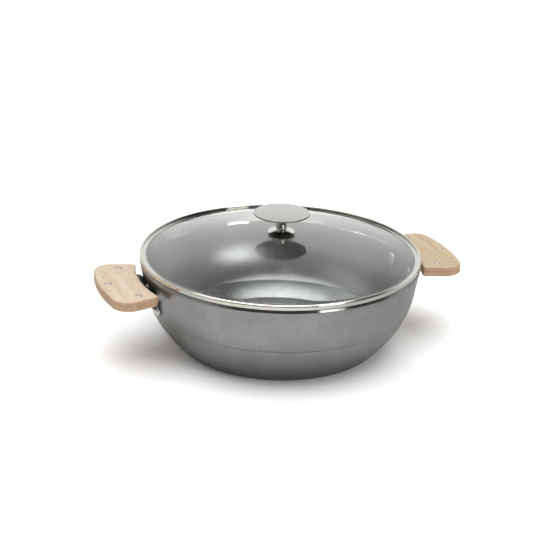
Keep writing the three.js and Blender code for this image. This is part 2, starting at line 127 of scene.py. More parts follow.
# %% [markdown]
# ## Studio
# The pan stands on a white table in front of a white backdrop. A broad light hangs overhead, a
# small softbox stands to the right of the camera, and a white wall at the left is bright high up
# and dimmer low down. The rest of the room, behind the camera, is dim: polished steel shows that
# as its dark lines, and the dome mirrors the backdrop as a pale veil. Boards could stand round the
# pan as meshes. The room is painted on the world by direction instead, because a mirrored ray
# needs no more than that, and nothing gets in the way when the camera moves.
#
# The table is a diffuse white that takes the pan's soft shadow. Mirrored rays see a pool of light
# on it that fades to both sides, so the bowl is darker towards its sides than in front.

# %% Paint of the table
FLOOR_LIFT = 0.03
FLOOR_PAINT, FLOOR_SEEN = 0.955, 1.30
POOL_LEFT, POOL_HALF, POOL_END, POOL_EDGE = 0.05, 0.13, 0.33, 0.60

white_table, tree = new_tree("white_table")
path = add(tree, "LightPath").outputs
direct = add(tree, "Math", {0: path["Is Camera Ray"], 1: path["Is Transmission Ray"]},
             operation="MAXIMUM").outputs[0]
spot = add(tree, "NewGeometry").outputs["Position"]
aside = add(tree, "VectorMath", {0: spot, 1: rightward}, operation="DOT_PRODUCT").outputs["Value"]
off_middle = add(tree, "Math", {0: aside, 1: POOL_LEFT}, operation="ADD").outputs[0]
off_either_way = add(tree, "Math", {0: off_middle}, operation="ABSOLUTE").outputs[0]
pool = add(tree, "MapRange", {"Value": off_either_way, "From Min": POOL_HALF, "From Max": POOL_END,
                              "To Min": FLOOR_PAINT, "To Max": POOL_EDGE}).outputs[0]
bounced = add(tree, "Mix", {0: path["Is Glossy Ray"], 2: FLOOR_PAINT, 3: pool}, data_type="FLOAT").outputs[0]
white = add(tree, "Mix", {0: direct, 2: bounced, 3: FLOOR_SEEN}, data_type="FLOAT").outputs[0]
lift = add(tree, "Math", {0: direct, 1: FLOOR_LIFT}, operation="MULTIPLY").outputs[0]
matt = add(tree, "BsdfDiffuse", {"Color": white}).outputs[0]
glow = add(tree, "Emission", {"Color": WHITE, "Strength": lift}).outputs[0]
both = add(tree, "AddShader", {0: matt, 1: glow}).outputs[0]
add(tree, "OutputMaterial", {"Surface": both})
print("paint", white_table.name)

# %% Table
FLOOR_DROP = 0.0002
FLOOR_HALF = 6.0

corners = np.array([(-1, -1), (1, -1), (1, 1), (-1, 1)]) * FLOOR_HALF
sheet = bpy.data.meshes.new("table")
sheet.from_pydata([(x, y, -FLOOR_DROP) for x, y in corners], [], [(0, 1, 2, 3)])
sheet.materials.append(white_table)
table = bpy.data.objects.new("table", sheet)
scene.collection.objects.link(table)
print("table", 2 * FLOOR_HALF, "m wide")

# %% Room as mirrored rays see it
DIM_SEEN, BACKDROP_SEEN, CEILING_SEEN, LEFT_SEEN, LEFT_LOW = 0.12, 1.05, 1.1, 1.6, 0.35

room = bpy.data.worlds.new("room")
scene.world = room
room.use_nodes = True
tree = room.node_tree
tree.nodes.clear()
direction = add(tree, "TexCoord").outputs["Generated"]
climb = add(tree, "SeparateXYZ", {0: direction}).outputs["Z"]
rearward = (-backward * Vector((1, 1, 0))).normalized()
to_rear, to_left = (add(tree, "VectorMath", {0: direction, 1: way}, operation="DOT_PRODUCT").outputs["Value"]
                    for way in (rearward, -rightward))
# Each part of the room: what it follows, where it starts and ends, and its level at both
PARTS = {
    "behind": (to_rear, -0.05, 0.45, 0.0, 1.0),
    "below_top": (climb, 0.72, 0.48, 0.0, 1.0),
    "ceiling": (climb, 0.82, 0.90, 0.0, CEILING_SEEN),
    "left": (to_left, 0.45, 0.85, 0.0, LEFT_SEEN),
    "high_up": (climb, 0.42, 0.58, LEFT_LOW, 1.0),
}
SOCKETS = ("Value", "From Min", "From Max", "To Min", "To Max")
part = {name: add(tree, "MapRange", dict(zip(SOCKETS, row))).outputs[0] for name, row in PARTS.items()}
backdrop = add(tree, "Math", {0: part["behind"], 1: part["below_top"]}, operation="MULTIPLY").outputs[0]
walls = add(tree, "MapRange", {"Value": backdrop, "To Min": DIM_SEEN, "To Max": BACKDROP_SEEN}).outputs[0]
left_wall = add(tree, "Math", {0: part["left"], 1: part["high_up"]}, operation="MULTIPLY").outputs[0]
for brighter in (part["ceiling"], left_wall):
    walls = add(tree, "Math", {0: walls, 1: brighter}, operation="MAXIMUM").outputs[0]
print("parts of the room", list(PARTS))

# %% Light of the room
ROOM_LEVEL, ROOM_SEEN = 0.25, 1.0

path = add(tree, "LightPath").outputs
mirrored = add(tree, "Math", {0: path["Is Glossy Ray"], 1: path["Is Transmission Ray"]},
               operation="MAXIMUM").outputs[0]
unseen = add(tree, "Mix", {0: mirrored, 2: ROOM_LEVEL, 3: walls}, data_type="FLOAT").outputs[0]
room_light = add(tree, "Mix", {0: path["Is Camera Ray"], 2: unseen, 3: ROOM_SEEN},
                 data_type="FLOAT").outputs[0]
shell = add(tree, "Background", {"Color": WHITE, "Strength": room_light}).outputs[0]
add(tree, "OutputWorld", {"Surface": shell})
print("room level", ROOM_LEVEL)

# %% Lamps
OVERHEAD_LEVEL, OVERHEAD_SPREAD = 0.75, 69
OVERHEAD_FRONT, OVERHEAD_LEFT = math.tan(math.radians(2)), math.tan(math.radians(3))
SOFTBOX_TURN, SOFTBOX_RISE, SOFTBOX_AWAY = math.radians(41), math.radians(21), 1.5
SOFTBOX_SIZE, SOFTBOX_WATTS = (0.50, 0.40), 3.6


def lamp(name, kind, place, target, energy, **options):
    """Lamp at a place, facing a target, that the camera itself doesn't see."""
    data = bpy.data.lights.new(name, kind)
    data.energy = energy
    for key, value in options.items():
        setattr(data, key, value)
    stand = bpy.data.objects.new(name, data)
    stand.location = place
    stand.rotation_euler = (Vector(target) - Vector(place)).to_track_quat("-Z", "Y").to_euler()
    stand.visible_camera = False
    scene.collection.objects.link(stand)


overhead_place = Vector((0, 0, 1)) - rearward * OVERHEAD_FRONT - rightward * OVERHEAD_LEFT
lamp("overhead_light", "SUN", overhead_place, (0, 0, 0), OVERHEAD_LEVEL * math.pi * overhead_place.length,
     angle=math.radians(OVERHEAD_SPREAD))
bearing = AZIMUTH + SOFTBOX_TURN
softbox_place = SOFTBOX_AWAY * Vector((
    math.sin(bearing) * math.cos(SOFTBOX_RISE),
    -math.cos(bearing) * math.cos(SOFTBOX_RISE),
    math.sin(SOFTBOX_RISE),
)) + LID_CENTRE
lamp("right_softbox", "AREA", softbox_place, LID_CENTRE, SOFTBOX_WATTS,
     shape="RECTANGLE", size=SOFTBOX_SIZE[0], size_y=SOFTBOX_SIZE[1])

# %% [markdown]
# ## Surfaces from arrays
# Almost every piece here is turned on a lathe, cut from a bar or pressed from sheet. Primitives
# could be pulled into shape by hand, but then no size can be read off again. So each piece is
# worked out as a grid of points: rows along a profile, columns along a path or round an axis. Whole
# arrays are computed at once and handed to the mesh, in millimetres until the last step.

# %% Mesh of a grid
MM = 0.001
MERGE = 1e-6
SOFT_EDGE = math.radians(38)


def quads_of(index):
    """Corner numbers of every cell of a grid of point numbers, one quad to a cell."""
    return np.stack([index[:-1, :-1], index[:-1, 1:], index[1:, 1:], index[1:, :-1]], axis=-1).reshape(-1, 4)


def grid_mesh(name, points, closed_rows=False):
    """Mesh of a rows by columns grid of points in millimetres. The last column joins the first, and
    with closed_rows so does the last row. Points that fall together become one."""
    index = np.arange(points[..., 0].size).reshape(points.shape[:2])
    index = np.vstack([index, index[:1]]) if closed_rows else index
    index = np.hstack([index, index[:, :1]])
    mesh = bpy.data.meshes.new(name)
    mesh.from_pydata((points.reshape(-1, 3) * MM).tolist(), [], quads_of(index).tolist())
    return closed(mesh)


def closed(mesh):
    """The mesh with doubles merged, faces pointing outwards and smooth shading between soft edges."""
    work = bmesh.new()
    work.from_mesh(mesh)
    bmesh.ops.remove_doubles(work, verts=work.verts, dist=MERGE)
    bmesh.ops.recalc_face_normals(work, faces=work.faces)
    work.to_mesh(mesh)
    work.free()
    mesh.shade_smooth()
    mesh.set_sharp_from_angle(angle=SOFT_EDGE)
    return mesh


print("a grid of 3 by 4 points has", len(quads_of(np.arange(12).reshape(3, 4))), "cells")

# %% Turned shapes, arcs and eased corners
def lathe(outline, facets):
    """Grid of a turned shape: each (radius, height) of the outline is carried round Z."""
    turn = np.linspace(0, 2 * np.pi, facets, endpoint=False)
    radius, height = np.asarray(outline, float).T[:, :, None]
    return np.stack([radius * np.cos(turn), radius * np.sin(turn), height + 0 * turn], axis=-1)


def arc(centre, radius, start, end, steps):
    """Points of a circular arc, angles in degrees, both ends included."""
    turn = np.radians(np.linspace(start, end, steps + 1))
    return np.stack([centre[0] + radius * np.cos(turn), centre[1] + radius * np.sin(turn)], axis=-1)


def eased(section, steps=6):
    """Closed outline of (radius, height, easing) corners, each with an arc that touches both sides.
    An arc of radius r starts r over the tangent of half the corner's angle away from the corner."""
    corners, easing = np.hsplit(np.asarray(section, float), [2])
    rounded = []
    for i, (corner, radius) in enumerate(zip(corners, easing[:, 0])):
        if radius == 0:
            rounded.append(corner[None])
            continue
        before, after = corners[i - 1] - corner, corners[(i + 1) % len(corners)] - corner
        a, b = before / np.linalg.norm(before), after / np.linalg.norm(after)
        half = np.arccos(np.clip(a @ b, -1, 1)) / 2
        reach = radius / np.tan(half)
        middle = corner + (a + b) / np.linalg.norm(a + b) * (radius / np.sin(half))
        start, end = corner + a * reach - middle, corner + b * reach - middle
        share = np.linspace(0, 1, steps + 1)[:, None]
        spread = np.arccos(np.clip(start @ end / radius ** 2, -1, 1))
        turn = (np.sin((1 - share) * spread) * start + np.sin(share * spread) * end) / np.sin(spread)
        rounded.append(middle + turn)
    return np.concatenate(rounded)


print("a square eased at one corner has", len(eased([(0, 0, 0), (2, 0, 0), (2, 2, 1), (0, 2, 0)])), "points")

# %% Place of a piece in the part
def place_piece(name, mesh, body, nodes, finish):
    """Object of a finished mesh: it rides on a body, stands for its solids and has its finish."""
    made = bpy.data.objects.new(name, mesh)
    scene.collection.objects.link(made)
    mesh.materials.append(finish)
    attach(made, body)
    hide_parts(*nodes)
    return made


print("helpers ready")

# %% [markdown]
# ## Finishes
# Every finish starts from the real material and from how its surface was made. Patterns read the
# object's own coordinates in metres, so their scales are real sizes.
#
# ### Carbon steel
# The sheet was ground with a fine belt before it was pressed and waxed. It mirrors the room very
# softly, a mid grey, with hair-fine marks that run up the wall. Inside, drawing rubbed the lower
# bowl bright and smooth, and its brighter grey is partly painted highlight. The floor was turned
# on a lathe, so its marks run round the axis, and the rim was ground. A mark scatters light across
# itself: on the wall highlights spread sideways, on the floor they spread in a fan. The grey is
# darker low down, inside and out, and darkest on the floor: painted shade.
#
# A picture of brushed steel could be wrapped round the pan. Noise that is drawn out along the marks
# needs no picture and has no seam, and one function makes all four finishes from how they lie.

# %% Marks in the steel
WALL_RADIUS = 138 * MM
MARK_WIDTH, MARK_LENGTH = 0.7 * MM, 30 * MM   # real marks are finer, drawn this wide so that they show
LEVEL_PART = (1, 1, 0)


def steel_marks(tree, here, height, turned):
    """Noise drawn out along the marks. Marks up the wall: the direction from the axis, at the wall's
    radius over a mark's width, and the height over its length. Turned marks: the direction at the
    wall's radius over a mark's length, and radius plus height over its width."""
    flat = add(tree, "VectorMath", {0: here, 1: LEVEL_PART}, operation="MULTIPLY").outputs[0]
    outward = add(tree, "VectorMath", {0: flat}, operation="NORMALIZE").outputs[0]
    sideways, upward = (MARK_LENGTH, MARK_WIDTH) if turned else (MARK_WIDTH, MARK_LENGTH)
    travel = height
    if turned:
        radius = add(tree, "VectorMath", {0: flat}, operation="LENGTH").outputs["Value"]
        travel = add(tree, "Math", {0: radius, 1: height}, operation="ADD").outputs[0]
    around = add(tree, "VectorMath", {0: outward, 1: (WALL_RADIUS / sideways,) * 3},
                 operation="MULTIPLY").outputs[0]
    rise = add(tree, "Math", {0: travel, 1: 1 / upward}, operation="MULTIPLY").outputs[0]
    lifted = add(tree, "CombineXYZ", {"Z": rise}).outputs[0]
    strokes = add(tree, "VectorMath", {0: around, 1: lifted}, operation="ADD").outputs[0]
    return add(tree, "TexNoise", {"Vector": strokes, "Scale": 1.0, "Detail": 3.0}).outputs["Fac"]


print("marks round the wall", round(2 * math.pi * WALL_RADIUS / MARK_WIDTH))

# %% Carbon steel
# The eye sees a soft grey mirror with a fine nap, darker at the foot
CLOUD, MARK_DEPTH, FOOT_SHADE_TOP = 22.22 * MM, 0.2 * MM, 35 * MM
TONE_LOW, TONE_HIGH = 0.3, 0.7   # noise seldom leaves this range
ROUGH_SPREAD, QUARTER_TURN = 0.1, 0.25
WAXED = [(0.30, "#888887"), (0.50, "#929291"), (0.70, "#9c9c9b")]
# Greys of the drawn bowl: brighter steel, partly painted highlight.
RUBBED_AND_LIT = [(0.30, "#9a9b9a"), (0.50, "#a4a6a4"), (0.70, "#aeb0ae")]


def carbon_finish(name, turned, roughness, stretch, painted_foot_shade=1.0, depth=0.04, clouded=0.5, greys=WAXED):
    """Steel whose tone mixes its marks with broad clouds, by the share clouded. The tone sets the grey
    and moves the roughness by a tenth. stretch spreads highlights across the marks, the foot shade is
    the share of the grey left at the foot by painted shade, which darkens it towards the bottom, and
    depth is the strength of the marks' relief."""
    material, tree = new_tree(name)
    here = add(tree, "TexCoord").outputs["Object"]
    height = add(tree, "SeparateXYZ", {0: here}).outputs["Z"]
    marks = steel_marks(tree, here, height, turned)
    clouds = add(tree, "TexNoise", {"Vector": here, "Scale": 1 / CLOUD, "Detail": 4.0}).outputs["Fac"]
    tone = add(tree, "Mix", {0: clouded, 2: marks, 3: clouds}, data_type="FLOAT").outputs[0]
    colour = add(tree, "ValToRGB", {"Fac": tone}, greys).outputs["Color"]
    if painted_foot_shade < 1:
        # Painted shade: the grey darkens from 35 mm down to the foot.
        foot_shade_share = add(tree, "MapRange", {"Value": height, "From Max": FOOT_SHADE_TOP, "To Min": painted_foot_shade}).outputs[0]
        colour = add(tree, "Mix", {0: 1.0, 6: colour, 7: foot_shade_share}, data_type="RGBA",
                     blend_type="MULTIPLY").outputs[2]
    rough = add(tree, "MapRange", {
        "Value": tone, "From Min": TONE_LOW, "From Max": TONE_HIGH,
        "To Min": (1 - ROUGH_SPREAD) * roughness, "To Max": (1 + ROUGH_SPREAD) * roughness}).outputs[0]
    relief = add(tree, "Bump", {"Height": marks, "Strength": depth, "Distance": MARK_DEPTH}).outputs[0]
    around_axis = add(tree, "Tangent", direction_type="RADIAL", axis="Z").outputs[0]
    steel = add(tree, "BsdfPrincipled", {
        "Base Color": colour, "Metallic": 1.0, "Roughness": rough, "Normal": relief, "Anisotropic": stretch,
        "Anisotropic Rotation": QUARTER_TURN if turned else 0.0, "Tangent": around_axis})
    add(tree, "OutputMaterial", {"Surface": steel.outputs[0]})
    return material


# Outside and on the inner wall, painted shade darkens the grey towards the foot.
brushed_steel = carbon_finish("brushed_carbon_steel", False, 0.31, 0.5, painted_foot_shade=0.72)
# The drawn bowl's brighter greys are partly painted highlight.
drawn_steel = carbon_finish("drawn_carbon_steel", False, 0.30, 0.70, depth=0.0, clouded=0.95, greys=RUBBED_AND_LIT)
ground_steel = carbon_finish("ground_carbon_steel", True, 0.11, 0.0)
# The turned floor gets the darkest painted shade.
floor_steel = carbon_finish("turned_carbon_steel", True, 0.36, 0.7, painted_foot_shade=0.50)
print("finishes", brushed_steel.name, drawn_steel.name, ground_steel.name, floor_steel.name)

# %% [markdown]
# ### Polished stainless steel
# The lid's band, the knob's stem and washers, the screw, and the edges of the brackets and the ends
# of their feet are buffed to a near mirror. Buffing leaves faint swirls. They could be relief, but
# they only break up the sharpest reflections, so they go into the roughness.

# %% Polished stainless steel
# The eye sees a mirror: bright bands with black lines between them
SWIRL = 4.545 * MM


def bare_steel(tree, tone, greys, roughness):
    """End of a plain steel's tree: the grey and the roughness both follow one tone from noise."""
    stops = list(zip((TONE_LOW, TONE_HIGH), greys))
    colour = add(tree, "ValToRGB", {"Fac": tone}, stops).outputs["Color"]
    rough = add(tree, "MapRange", {"Value": tone, "From Min": TONE_LOW, "From Max": TONE_HIGH,
                                   "To Min": roughness[0], "To Max": roughness[1]}).outputs[0]
    steel = add(tree, "BsdfPrincipled", {"Base Color": colour, "Metallic": 1.0, "Roughness": rough})
    add(tree, "OutputMaterial", {"Surface": steel.outputs[0]})


polished_steel, tree = new_tree("polished_stainless_steel")
here = add(tree, "TexCoord").outputs["Object"]
swirls = add(tree, "TexNoise", {"Vector": here, "Scale": 1 / SWIRL, "Detail": 3.0, "Distortion": 0.6})
bare_steel(tree, swirls.outputs["Fac"], ("#cfccc4", "#d6d3cb"), (0.05, 0.07))
print("finish", polished_steel.name)

# %% [markdown]
# ### Satin stainless steel
# The top of the knob's disc was turned and then blasted, so it is an even pale grey, and so are the
# rivets' inner heads. Very fine turning rings follow the distance from the axis. A bump of rings
# would shimmer at this size, so they only shift the grey and the roughness.

# %% Satin stainless steel
# The eye sees a pale, even sheen without a clear mirror image
RING_PITCH, BLAST_GRAIN = 0.5 * MM, 1.111 * MM   # coarser than real rings and grit, so that they show
GRAIN_SHARE = 0.6

satin_steel, tree = new_tree("satin_stainless_steel")
here = add(tree, "TexCoord").outputs["Object"]
flat = add(tree, "VectorMath", {0: here, 1: LEVEL_PART}, operation="MULTIPLY").outputs[0]
from_axis = add(tree, "VectorMath", {0: flat}, operation="LENGTH").outputs["Value"]
rings = add(tree, "TexNoise", {"W": from_axis, "Scale": 1 / RING_PITCH, "Detail": 2.0},
            noise_dimensions="1D").outputs["Fac"]
blasted = add(tree, "TexNoise", {"Vector": here, "Scale": 1 / BLAST_GRAIN, "Detail": 3.0}).outputs["Fac"]
tone = add(tree, "Mix", {0: GRAIN_SHARE, 2: rings, 3: blasted}, data_type="FLOAT").outputs[0]
bare_steel(tree, tone, ("#bebdba", "#c9c8c5"), (0.24, 0.34))
print("finish", satin_steel.name)

# %% [markdown]
# ### Worn pin steel and dark steel for painted shade
# The pins' ends were sanded with the wood and then handled, so they are a dull, slightly warm grey.
#
# The brackets' faces, the rivets' outer heads and the edges and undersides of the knob's disc and
# washer get a dark steel that is painted shade and painted dark reflection. It still mirrors the
# room, but darkly and softly. It could be a black coat over steel. A dark metal gives the same look
# with one shader. Both finishes are patchy, and a few millimetres of noise show that.

# %% Worn pin steel and dark steel for painted shade
# The eye sees small dull silver ends, and near-black faces with a soft shine
# Each steel: the size of its patches, its greys and its roughness
PATCHY = {
    "worn_pin_steel": (1.4286 * MM, ("#b9afa1", "#c6bdaf"), (0.20, 0.30)),
    "painted_shade_steel": (3.846 * MM, ("#4a4941", "#5a5950"), (0.30, 0.42)),
}
patchy_steels = []
for name, (patch, greys, roughness) in PATCHY.items():
    patchy_steel, tree = new_tree(name)
    here = add(tree, "TexCoord").outputs["Object"]
    patches = add(tree, "TexNoise", {"Vector": here, "Scale": 1 / patch, "Detail": 3.0}).outputs["Fac"]
    bare_steel(tree, patches, greys, roughness)
    patchy_steels.append(patchy_steel)
worn_steel, shade_steel = patchy_steels
print("finishes", worn_steel.name, shade_steel.name)

# %% [markdown]
# ### Tempered glass
# The lid is float glass, bent and hardened. It is clear, with the faint green of iron that shows
# in thick glass, and its faces ripple by a hair. A thin see-through sheet would be quicker, but
# glass with two faces bends the view at the dome's edge as the real one does. Cycles stops lamp
# rays at glass, so for those rays alone it is plain see-through, and the lamps reach the inside.

# %% Tempered glass
# The eye sees the inside of the pan under a pale mirrored veil
GLASS_IOR = 1.5
RIPPLE, RIPPLE_DEPTH, RIPPLE_SHARE = 100 * MM, 2 * MM, 0.004

tempered_glass, tree = new_tree("tempered_glass")
here = add(tree, "TexCoord").outputs["Object"]
ripple = add(tree, "TexNoise", {"Vector": here, "Scale": 1 / RIPPLE, "Detail": 0.0}).outputs["Fac"]
relief = add(tree, "Bump", {"Height": ripple, "Strength": RIPPLE_SHARE, "Distance": RIPPLE_DEPTH}).outputs[0]
clear = add(tree, "BsdfPrincipled", {"Base Color": linear("#fbfdfc"), "Roughness": 0.0, "IOR": GLASS_IOR,
                                     "Transmission Weight": 1.0, "Normal": relief})
through = add(tree, "BsdfTransparent", {"Color": linear("#f8faf9")})
lamp_ray = add(tree, "LightPath").outputs["Is Shadow Ray"]
pane = add(tree, "MixShader", {0: lamp_ray, 1: clear.outputs[0], 2: through.outputs[0]})
add(tree, "OutputMaterial", {"Surface": pane.outputs[0]})
print("finish", tempered_glass.name)

# %% [markdown]
# ### Beech
# Steamed beech, sanded and lightly waxed. Its grain runs along the grip, across the pan's radius.
# Beech shows soft broad growth bands and many short dark flecks along the grain, which turn to
# specks on the end faces. A picture of wood would need unwrapping and would not fit round the
# edges. Noise stretched along Y is a solid pattern, so faces and ends agree. The sides and rounded
# edges are painted darker and warmer: painted shade. The right grip's flat faces are painted a
# little darker and yellower: painted shade too.

# %% Grain of the beech
GROWTH_BAND, BAND_LENGTH, BAND_TILT = 7 * MM, 87.5 * MM, (0.0, 0.35, 0.05)
FLECK_WIDTH, FLECK_LENGTH, FLECK_SHARE = 0.7 * MM, 7 * MM, 0.30
SWAY_LENGTH, SWAY = 40 * MM, 6 * MM

beech, tree = new_tree("waxed_beech")
here = add(tree, "TexCoord").outputs["Object"]
bend = add(tree, "TexNoise", {"Vector": here, "Scale": 1 / SWAY_LENGTH, "Detail": 2.0}).outputs["Color"]
sway = add(tree, "VectorMath", {0: bend, 1: (SWAY, 0, SWAY)}, operation="MULTIPLY").outputs[0]
wavy = add(tree, "VectorMath", {0: here, 1: sway}, operation="ADD").outputs[0]
band_scale = (1 / GROWTH_BAND, 1 / BAND_LENGTH, 1 / GROWTH_BAND)
bands = add(tree, "Mapping", {"Vector": wavy, "Scale": band_scale, "Rotation": BAND_TILT}).outputs[0]
growth = add(tree, "TexNoise", {"Vector": bands, "Scale": 1.0, "Detail": 3.0}).outputs["Fac"]
fleck_scale = (1 / FLECK_WIDTH, 1 / FLECK_LENGTH, 1 / FLECK_WIDTH)
short_lines = add(tree, "Mapping", {"Vector": wavy, "Scale": fleck_scale}).outputs[0]
flecks = add(tree, "TexNoise", {"Vector": short_lines, "Scale": 1.0, "Detail": 2.0}).outputs["Fac"]
wood = add(tree, "ValToRGB", {"Fac": growth},
           [(0.32, "#d9c2a7"), (0.5, "#e0cdb5"), (0.68, "#e6d7c3")]).outputs["Color"]
specks = add(tree, "ValToRGB", {"Fac": flecks}, [(0.34, "#bf966a"), (0.50, "#ffffff")]).outputs["Color"]
colour = add(tree, "Mix", {0: FLECK_SHARE, 6: wood, 7: specks}, data_type="RGBA",
             blend_type="MULTIPLY").outputs[2]
print("flecks", FLECK_WIDTH / MM, "by", FLECK_LENGTH / MM, "mm")

# %% Beech
# The eye sees pale pinkish wood, matt, with a fine broken grain
FACE_LIMIT, EDGE_LIMIT, RIGHT_SHADE_FADE = 0.85, 0.3, 50 * MM
SIDE_SHADE_TINT, RIGHT_SHADE_TINT = linear("#e6d0be"), linear("#e9e7da")
PORE_DEPTH, PORE_SHARE = 0.2 * MM, 0.15

outward = add(tree, "TexCoord").outputs["Normal"]
upward = add(tree, "SeparateXYZ", {0: outward}).outputs["Z"]
level_face = add(tree, "Math", {0: upward}, operation="ABSOLUTE").outputs[0]
# Painted shade: sides and rounded edges, where the normal climbs little, are tinted darker.
painted_side_shade = add(tree, "MapRange", {"Value": level_face, "From Min": FACE_LIMIT,
                                 "From Max": EDGE_LIMIT}).outputs[0]
along_pan = add(tree, "SeparateXYZ", {0: here}).outputs["X"]
# Painted shade: the right grip's flat faces are tinted darker and a little yellower.
at_right = add(tree, "MapRange", {"Value": along_pan, "From Min": -RIGHT_SHADE_FADE,
                                  "From Max": RIGHT_SHADE_FADE}).outputs[0]
painted_right_shade = add(tree, "Math", {0: at_right, 1: level_face}, operation="MULTIPLY").outputs[0]
for share, tint in ((painted_side_shade, SIDE_SHADE_TINT), (painted_right_shade, RIGHT_SHADE_TINT)):
    colour = add(tree, "Mix", {0: share, 6: colour, 7: tint}, data_type="RGBA",
                 blend_type="MULTIPLY").outputs[2]
relief = add(tree, "Bump", {"Height": flecks, "Strength": PORE_SHARE, "Distance": PORE_DEPTH}).outputs[0]
waxed_wood = add(tree, "BsdfPrincipled", {"Base Color": colour, "Roughness": 0.55,
                                          "Normal": relief, "Specular IOR Level": 0.35})
add(tree, "OutputMaterial", {"Surface": waxed_wood.outputs[0]})
print("finish", beech.name)

# %% [markdown]
# ### Silicone
# The knob's gaskets are moulded from dark silicone, which is matt and a little cloudy. Silicone lets
# a little light in, but rings this thin and dark show none of it, so a plain matt body is enough.

# %% Silicone
# The eye sees a matt, nearly black line
HAZE = 3.333 * MM

silicone, tree = new_tree("moulded_silicone")
here = add(tree, "TexCoord").outputs["Object"]
haze = add(tree, "TexNoise", {"Vector": here, "Scale": 1 / HAZE, "Detail": 2.0}).outputs["Fac"]
colour = add(tree, "ValToRGB", {"Fac": haze}, [(0.3, "#2e2d2a"), (0.7, "#393834")]).outputs["Color"]
soft = add(tree, "BsdfPrincipled", {"Base Color": colour, "Roughness": 0.5})
add(tree, "OutputMaterial", {"Surface": soft.outputs[0]})
print("finish", silicone.name)

# %% [markdown]
# ## Pan
# One pressed sheet: a flat base, a rounded corner, a bowl and a nearly straight wall. Pressing in
# two steps left a faint crease round the wall, inside a low ridge runs above the floor, which meets
# the bowl in a tight corner, and the rim was ground to a slanting bevel. A cylinder could be pulled
# into this shape ring by ring. A section that is turned about the axis keeps every size a number:
# the outer line is drawn once, an arc and a cubic curve, and the inner line is the same line moved
# inwards by the sheet's thickness.

# %% Pan's outer line
SHEET = 2.5
BASE_RADIUS, BASE_CORNER = 95.5, 10.0
BOWL_TOP, RIM = np.array([137.8, 70.0]), np.array([141.06, 88.7])
FOOT_LEAN, TOP_LEAN = np.radians(45), np.radians(82.9)
FOOT_HANDLE, TOP_HANDLE = 29.7, 27.8
FLAT_ROWS, CORNER_ROWS, BOWL_ROWS, WALL_ROWS = 16, 10, 200, 12


def heading(lean):
    """Unit vector that climbs at an angle to the level."""
    return np.array([np.cos(lean), np.sin(lean)])


def cubic(a, b, c, d, steps):
    """Points of the cubic curve with ends a and d and handles b and c."""
    t = np.linspace(0, 1, steps + 1)[:, None]
    return (1 - t) ** 3 * a + 3 * (1 - t) ** 2 * t * b + 3 * (1 - t) * t ** 2 * c + t ** 3 * d


flat_base = np.linspace((0, 0), (BASE_RADIUS, 0), FLAT_ROWS)
base_corner = arc((BASE_RADIUS, BASE_CORNER), BASE_CORNER, -90, -45, CORNER_ROWS)
bowl_foot = base_corner[-1]
bowl = cubic(bowl_foot, bowl_foot + FOOT_HANDLE * heading(FOOT_LEAN),
             BOWL_TOP - TOP_HANDLE * heading(TOP_LEAN), BOWL_TOP, BOWL_ROWS)
wall = np.linspace(BOWL_TOP, RIM, WALL_ROWS)
outer_line = np.concatenate([flat_base[:-1], base_corner[:-1], bowl[:-1], wall])
run = np.gradient(outer_line, axis=0)
run /= np.linalg.norm(run, axis=1, keepdims=True)
inward = np.stack([-run[:, 1], run[:, 0]], axis=-1)
print("outer line", len(outer_line), "points, rim at", outer_line[-1])

# %% Pan's two faces, with the crease and the ridge
CREASE_HEIGHT, CREASE_DEPTH, CREASE_STEP, CREASE_FADE = 45.0, 0.8, 0.3, 7.0
RIDGE_HEIGHT, RIDGE_DEPTH, RIDGE_FADE = 18.5, 0.6, 3.5
FLOOR_TOP, FLOOR_CORNER = 3.6, 1.2

# The crease steps in by a logistic curve and fades out downwards
below = CREASE_HEIGHT - outer_line[:, 1]
crease = CREASE_DEPTH / (1 + np.exp(-below / CREASE_STEP)) * np.exp(-np.clip(below, 0, None) / CREASE_FADE)
outside = outer_line + inward * crease[:, None]

# The ridge rises from the floor as a square and fades out upwards
inside = outer_line + inward * SHEET
above = inside[:, 1] - RIDGE_HEIGHT
rising = np.clip(1 + above / (RIDGE_HEIGHT - FLOOR_TOP), 0, 1) ** 2
ridge = RIDGE_DEPTH * np.where(above > 0, np.exp(-np.clip(above, 0, None) / RIDGE_FADE), rising)
inside = inside + inward * ridge[:, None]
inside = inside[inside[:, 1] > FLOOR_TOP + FLOOR_CORNER][::-1]
print("crease", crease.max().round(2), "mm deep, ridge", ridge.max().round(2), "mm")

# %% Pan's body
PAN_FACETS = 180
RIM_BEVEL, RIM_TOP = np.array([-0.8, 2.1]), 90.9
RIM_PULL, RIM_PUSH = 0.3, 0.2
BEVEL_ROWS, RIM_ROWS, FLOOR_CORNER_ROWS = 9, 8, 6

floor_edge = np.array([inside[-1, 0] - FLOOR_CORNER, FLOOR_TOP])
floor_start = floor_edge - (FLOOR_CORNER, 0)
floor_corner = cubic(inside[-1], floor_edge, floor_edge, floor_start, FLOOR_CORNER_ROWS)[1:]
floor = np.linspace(floor_start, (0, FLOOR_TOP), FLAT_ROWS)[1:]
bevel_top = outside[-1] + RIM_BEVEL
bevel = np.linspace(outside[-1], bevel_top, BEVEL_ROWS)[1:-1]
outer_handle = (bevel_top[0] - RIM_PULL, RIM_TOP + RIM_PUSH)
inner_handle = (inside[0, 0], RIM_TOP + RIM_PUSH)
rim = cubic(bevel_top, outer_handle, inner_handle, inside[0], RIM_ROWS)[:-1]
pan_outline = np.concatenate([outside, bevel, rim, inside, floor_corner, floor])
pan_mesh = grid_mesh("pan_body", lathe(pan_outline, PAN_FACETS))
place_piece("pan", pan_mesh, "pan", ["pan_body"], brushed_steel)
print("pan", len(pan_mesh.polygons), "faces, height", round(pan_outline[:, 1].max(), 2))

# %% Finish of each face of the pan
LEVEL, FLOOR_NEAR = 0.95, 0.1


def of_faces(mesh, what):
    """Each face's centre or normal, as one row of an array."""
    values = np.empty(3 * len(mesh.polygons))
    mesh.polygons.foreach_get(what, values)
    return values.reshape(-1, 3)


